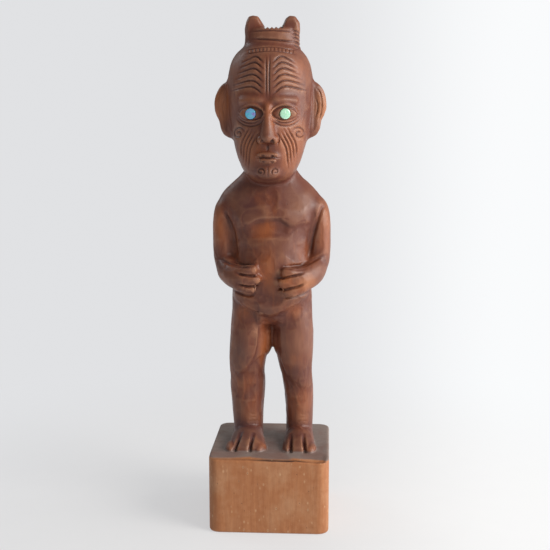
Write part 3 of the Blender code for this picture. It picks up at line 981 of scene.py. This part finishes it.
def shell_finish(name, lights, deep, offset):
    """Polished nacre: curling bands of colour with fine dark growth lines."""
    made, shader, n = new_material(name)
    where = n.add("ShaderNodeTexCoord").outputs["Object"]
    centred = n.add("ShaderNodeMapping", {"Vector": where, "Location": offset, "Scale": (1.0, 0.4, 1.6)})
    curl = n.noise(centred, 190.0, 2.0, 0.5, 0.9)
    ramp = n.add("ShaderNodeValToRGB", {0: n.between(curl, 0.3, 0.7)})
    stops = ramp.color_ramp.elements
    stops[0].position = 0.0
    stops[0].color = rgba(lights[0])
    stops[1].position = 1.0
    stops[1].color = rgba(lights[-1])
    for i, colour in enumerate(lights[1:-1]):
        stops.new((i + 1) / (len(lights) - 1)).color = rgba(colour)
    lines = n.noise(centred, 1500.0, 3.0, 0.6, 2.0)
    colour = n.mix(n.between(lines, 0.56, 0.7, 0.0, 0.5), ramp, rgba(deep))
    n.feed(shader.inputs["Base Color"], colour)
    n.feed(shader.inputs["Roughness"], n.between(lines, 0.3, 0.7, 0.16, 0.3))
    bump = n.add("ShaderNodeBump", {"Height": curl, "Distance": 0.0003, "Strength": 0.5})
    n.feed(shader.inputs["Normal"], bump)
    shader.inputs["Coat Weight"].default_value = 0.6
    shader.inputs["Coat Roughness"].default_value = 0.05
    return made


def glue_finish(settings):
    made, shader, n = new_material("amber_glue_finish")
    clouds = n.noise(n.stretched((1.0, 1.0, 1.0)), 900.0, 2.0, 0.5)
    n.feed(shader.inputs["Base Color"], n.mix(clouds, rgba(settings.glue), rgba(settings.cut_stain)))
    n.feed(shader.inputs["Roughness"], n.between(clouds, 0.3, 0.7, 0.2, 0.4))
    return made


# The sizes and colours that a user would change.


def colour_property(name, description, default):
    return FloatVectorProperty(
        name=name, description=description, subtype="COLOR", size=3, min=0.0, max=1.0, default=default
    )


class FIGURE_PG_carving(bpy.types.PropertyGroup):
    voxel: FloatProperty(
        name="Carving fineness",
        description="Size of the steps that the surface is drawn in before it is pared",
        default=0.45 * MM,
        unit="LENGTH",
    )
    easing: IntProperty(
        name="Easing",
        description="How often the frame's broad facets are smoothed",
        default=14,
    )
    most_triangles: IntProperty(
        name="Most triangles",
        description="What the finished figure is pared to",
        default=190000,
    )
    socket_clearance: FloatProperty(
        name="Socket clearance",
        description="Gap between a shell disc's rim and the timber",
        default=0.3 * MM,
        unit="LENGTH",
    )
    inlay_dome: FloatProperty(
        name="Inlay dome",
        description="How far a polished disc rises from its rim to its middle",
        default=0.25 * MM,
        unit="LENGTH",
    )


class FIGURE_PG_finish(bpy.types.PropertyGroup):
    deep_stain: colour_property("Deep stain", "Stain where it lies thick", (0.120, 0.034, 0.020))
    warm_stain: colour_property("Warm stain", "Timber under thin stain", (0.30, 0.080, 0.020))
    # Also the colour of the painted shade on the figure's shaded side and on the block's rounded corners.
    dusky_stain_and_shade: colour_property("Dusky stain", "Stain gone dark with handling", (0.075, 0.027, 0.026))
    # Also the colour of the painted highlights on the figure's lit side.
    worn_wood_and_highlight: colour_property("Worn timber", "High places rubbed bare", (0.40, 0.19, 0.10))
    cut_stain: colour_property("Cut stain", "Stain that has settled in the cuts", (0.040, 0.014, 0.010))
    block_light: colour_property("Block, light grain", "Pale grain on the block's faces", (0.45, 0.19, 0.078))
    block_dark: colour_property("Block, dark grain", "Dark grain on the block's faces", (0.30, 0.105, 0.038))
    block_patch: colour_property("Block, pale patch", "Where the block is rubbed", (0.50, 0.29, 0.16))
    block_top: colour_property("Block top", "Stain on the block's top", (0.212, 0.167, 0.148))
    fleck: colour_property("Fleck", "Pale flecks in the block's faces", (0.62, 0.42, 0.24))
    glue: colour_property("Glue", "Set glue in the sockets", (0.45, 0.27, 0.10))
    polish: FloatProperty(name="Polish", description="The figure's roughness", default=0.42, min=0.0, max=1.0)
    block_roughness: FloatProperty(
        name="Block roughness", description="Roughness of the block's faces", default=0.58, min=0.0, max=1.0
    )


class FIGURE_PG_stage(bpy.types.PropertyGroup):
    camera_place: FloatVectorProperty(
        name="Camera place",
        description="Where the camera stands",
        default=(0.03679, -0.62037, 0.2523),
        subtype="TRANSLATION",
        unit="LENGTH",
    )
    camera_tilt: FloatProperty(
        name="Camera tilt", description="How far it looks down", default=math.radians(8.28), unit="ROTATION"
    )
    camera_turn: FloatProperty(
        name="Camera turn", description="How far it is turned left", default=math.radians(3.19), unit="ROTATION"
    )
    focal_length: FloatProperty(
        name="Focal length", description="On a 36 mm wide sensor, in millimetres", default=62.71
    )
    key_power: FloatProperty(name="Key light", description="The large light's power", default=17.0, unit="POWER")
    ambient: FloatProperty(name="Ambient", description="Light from all round", default=0.36)
    floor_glow: FloatProperty(
        name="Floor glow", description="How far the floor keeps the backdrop's colour in shade", default=0.66
    )
    backdrop_left: colour_property("Backdrop, left", "On the shaded side", (0.752, 0.758, 0.775))
    backdrop_right: colour_property("Backdrop, right", "On the lit side", (0.955, 0.965, 0.975))
    floor: colour_property("Floor", "The floor's own colour", (0.86, 0.85, 0.84))


class FIGURE_OT_carve_timber(bpy.types.Operator):
    """Carve the figure and its block as one piece of timber"""

    bl_idname = "figure.carve_timber"
    bl_label = "Carve Timber"

    def execute(self, context):
        carving = context.scene.figure_carving
        voxel = carving.voxel * 1
        figure = plain_figure()
        voxel_merge(figure, 1.3 * voxel)
        finished_mesh(figure)
        ease_figure(figure, carving.easing)
        ease_figure(figure, 3 * carving.easing, CREASES)
        add_to(figure.data, added_forms())
        voxel_merge(figure, voxel)
        finished_mesh(figure)
        ease_figure(figure, 6)
        ease_figure(figure, 14, SOFTENED)
        carve(figure.data)
        pare(figure, carving.most_triangles)
        drill_sockets(figure, carving.socket_clearance)
        record_finish(figure.data)
        figure.data.shade_smooth()
        figure.data.materials.clear()
        figure.data.materials.append(wood_finish(context.scene.figure_finish))
        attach(figure, "root")
        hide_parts("carved_figure")
        return {"FINISHED"}


def domed_disc(name, seat, radius, thickness, dome):
    """A disc turned from its half section: flat back, square rim with an eased edge, and a low dome."""
    rim = radius * 0.94
    section = [(0.0, thickness), (radius, thickness), (radius, 0.12 * thickness)]
    for i in range(7):
        t = i / 6
        section.append((rim * (1 - t), -dome * math.sin(t * math.pi / 2)))
    bm = bmesh.new()
    verts = [bm.verts.new((r, depth, 0.0)) for r, depth in section]
    edges = [bm.edges.new(pair) for pair in zip(verts, verts[1:])]
    bmesh.ops.spin(
        bm,
        geom=verts + edges,
        cent=(0, 0, 0),
        axis=(0, 1, 0),
        angle=2 * math.pi,
        steps=72,
        use_merge=True,
    )
    bmesh.ops.remove_doubles(bm, verts=bm.verts, dist=1e-6)
    bmesh.ops.recalc_face_normals(bm, faces=bm.faces)
    bmesh.ops.transform(bm, matrix=seat, verts=bm.verts)
    disc = new_mesh_object(name, bm)
    disc.data.shade_smooth()
    disc.data.set_sharp_from_angle(angle=math.radians(50))
    return disc


BLUE_NACRE = (
    (0.06, 0.34, 0.60),
    (0.10, 0.50, 0.68),
    (0.14, 0.44, 0.66),
    (0.22, 0.30, 0.62),
    (0.24, 0.20, 0.50),
)
GREEN_NACRE = (
    (0.30, 0.60, 0.46),
    (0.44, 0.74, 0.54),
    (0.34, 0.66, 0.44),
    (0.60, 0.82, 0.68),
    (0.40, 0.70, 0.56),
)


class FIGURE_OT_set_inlays(bpy.types.Operator):
    """Set a polished shell disc in each eye, on its bed of glue"""

    bl_idname = "figure.set_inlays"
    bl_label = "Set Inlays"

    def execute(self, context):
        shells = {
            "right": shell_finish("paua_shell_blue", BLUE_NACRE, (0.02, 0.06, 0.16), (0.011, 0.0, 0.004)),
            "left": shell_finish("paua_shell_green", GREEN_NACRE, (0.05, 0.22, 0.18), (0.0, 0.002, 0.017)),
        }
        glue = glue_finish(context.scene.figure_finish)
        for side, shell in shells.items():
            low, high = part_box("eye_inlay_" + side)
            disc = domed_disc(
                "shell_disc_" + side,
                SEATS[side],
                (high.z - low.z) / 2,
                INLAY_THICKNESS,
                context.scene.figure_carving.inlay_dome,
            )
            disc.data.materials.append(shell)
            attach(disc, "root")
            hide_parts("eye_inlay_" + side)
            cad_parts["eye_glue_" + side].data.materials[0] = glue
        return {"FINISHED"}


class FIGURE_OT_build_stage(bpy.types.Operator):
    """Lay a plain pale floor under soft light and place the camera"""

    bl_idname = "figure.build_stage"
    bl_label = "Build Stage"

    def execute(self, context):
        scene = context.scene
        stage = scene.figure_stage
        self.lay_floor(stage)
        self.light_room(scene, stage)
        camera = bpy.data.cameras.new("camera")
        camera.sensor_width = 36.0
        camera.lens = stage.focal_length
        camera.clip_start = 0.01
        holder = bpy.data.objects.new("camera", camera)
        holder.location = stage.camera_place
        holder.rotation_euler = (math.radians(90) - stage.camera_tilt, 0.0, stage.camera_turn)
        scene.collection.objects.link(holder)
        scene.camera = holder
        scene.view_settings.view_transform = "Standard"
        return {"FINISHED"}

    def backdrop(self, n, stage, direction):
        """The backdrop's colour for a direction of view, which is brighter towards the key light."""
        across = n.add("ShaderNodeSeparateXYZ", {0: direction})
        right = n.add("ShaderNodeMapRange", {0: across, 1: -0.05, 2: 0.19}, interpolation_type="SMOOTHSTEP")
        return n.mix(right, rgba(stage.backdrop_left), rgba(stage.backdrop_right))

    def lay_floor(self, stage):
        bm = bmesh.new()
        bmesh.ops.create_circle(bm, cap_ends=True, segments=96, radius=6.0)
        floor = new_mesh_object("floor", bm)
        made, shader, n = new_material("pale_floor")
        where = n.add("ShaderNodeTexCoord").outputs["Object"]
        away = n.add("ShaderNodeVectorMath", {0: where}, operation="LENGTH").outputs["Value"]
        from_camera = n.add("ShaderNodeVectorMath", {0: where, 1: stage.camera_place}, operation="SUBTRACT")
        direction = n.add("ShaderNodeVectorMath", {0: from_camera}, operation="NORMALIZE")
        fibre = n.noise(where, 60.0, 3.0, 0.5)
        faint = n.between(fibre, 0.3, 0.7, 0.98, 1.0)
        grey = n.add("ShaderNodeCombineColor", {0: faint, 1: faint, 2: faint})
        shade = n.mix(1.0, rgba(stage.floor), grey, "MULTIPLY")
        n.feed(shader.inputs["Base Color"], shade)
        shader.inputs["Roughness"].default_value = 0.9
        shader.inputs["Specular IOR Level"].default_value = 0.1
        glow = n.add("ShaderNodeEmission", {"Color": self.backdrop(n, stage, direction), "Strength": 1.0})
        fade = n.add(
            "ShaderNodeMapRange", {0: away, 1: 0.07, 2: 0.42, 3: stage.floor_glow}, interpolation_type="SMOOTHSTEP"
        )
        both = n.add("ShaderNodeMixShader", {0: fade, 1: shader.outputs[0], 2: glow})
        output = made.node_tree.nodes["Material Output"]
        n.feed(output.inputs["Surface"], both)
        floor.data.materials.append(made)

    def light_room(self, scene, stage):
        world = bpy.data.worlds.new("room")
        scene.world = world
        world.use_nodes = True
        n = Nodes(world.node_tree)
        world.node_tree.nodes.clear()
        direction = n.add("ShaderNodeTexCoord").outputs["Generated"]
        seen = n.add("ShaderNodeBackground", {"Color": self.backdrop(n, stage, direction), "Strength": 1.0})
        across = n.add("ShaderNodeSeparateXYZ", {0: direction})
        strength = n.between(across, -1.0, 1.0, 0.5 * stage.ambient, 1.5 * stage.ambient)
        felt = n.add("ShaderNodeBackground", {"Color": (1.0, 0.985, 0.96, 1.0), "Strength": strength})
        ray = n.add("ShaderNodeLightPath").outputs["Is Camera Ray"]
        both = n.add("ShaderNodeMixShader", {0: ray, 1: felt, 2: seen})
        n.add("ShaderNodeOutputWorld", {"Surface": both})
        lamps = (
            ("key_light", (1.05, -0.58, 0.78), 0.75, 1.0, (1.0, 0.97, 0.93)),
            ("side_light", (1.1, 0.0, 0.25), 0.9, 0.47, (1.0, 0.98, 0.96)),
            ("rim_light", (-0.9, 0.5, 0.9), 0.6, 0.12, (0.93, 0.96, 1.0)),
        )
        middle = Vector((0, 0, 0.16))
        for name, spot, size, share, colour in lamps:
            light = bpy.data.lights.new(name, "AREA")
            light.shape = "DISK"
            light.size = size
            light.energy = stage.key_power * share
            light.color = colour
            holder = bpy.data.objects.new(name, light)
            holder.location = spot
            holder.rotation_euler = (middle - Vector(spot)).to_track_quat("-Z", "Y").to_euler()
            scene.collection.objects.link(holder)


class FIGURE_PT_panel(bpy.types.Panel):
    """Lists the figure's pieces in the order they are made"""

    bl_idname = "FIGURE_PT_panel"
    bl_label = "Carved Ancestor Figure"
    bl_space_type = "VIEW_3D"
    bl_region_type = "UI"
    bl_category = "Figure"

    def draw(self, context):
        for operator in OPERATORS:
            self.layout.operator(operator.bl_idname)
        for group in (context.scene.figure_carving, context.scene.figure_finish, context.scene.figure_stage):
            box = self.layout.box()
            for name in group.__annotations__:
                box.prop(group, name)


OPERATORS = (FIGURE_OT_carve_timber, FIGURE_OT_set_inlays, FIGURE_OT_build_stage)
CLASSES = (FIGURE_PG_carving, FIGURE_PG_finish, FIGURE_PG_stage, *OPERATORS, FIGURE_PT_panel)


def register():
    for cls in CLASSES:
        bpy.utils.register_class(cls)
    bpy.types.Scene.figure_carving = PointerProperty(type=FIGURE_PG_carving)
    bpy.types.Scene.figure_finish = PointerProperty(type=FIGURE_PG_finish)
    bpy.types.Scene.figure_stage = PointerProperty(type=FIGURE_PG_stage)


def unregister():
    del bpy.types.Scene.figure_stage
    del bpy.types.Scene.figure_finish
    del bpy.types.Scene.figure_carving
    for cls in reversed(CLASSES):
        bpy.utils.unregister_class(cls)


def main():
    register()
    bpy.ops.figure.carve_timber()
    bpy.ops.figure.set_inlays()
    bpy.ops.figure.build_stage()


if __name__ == "__main__":
    main()
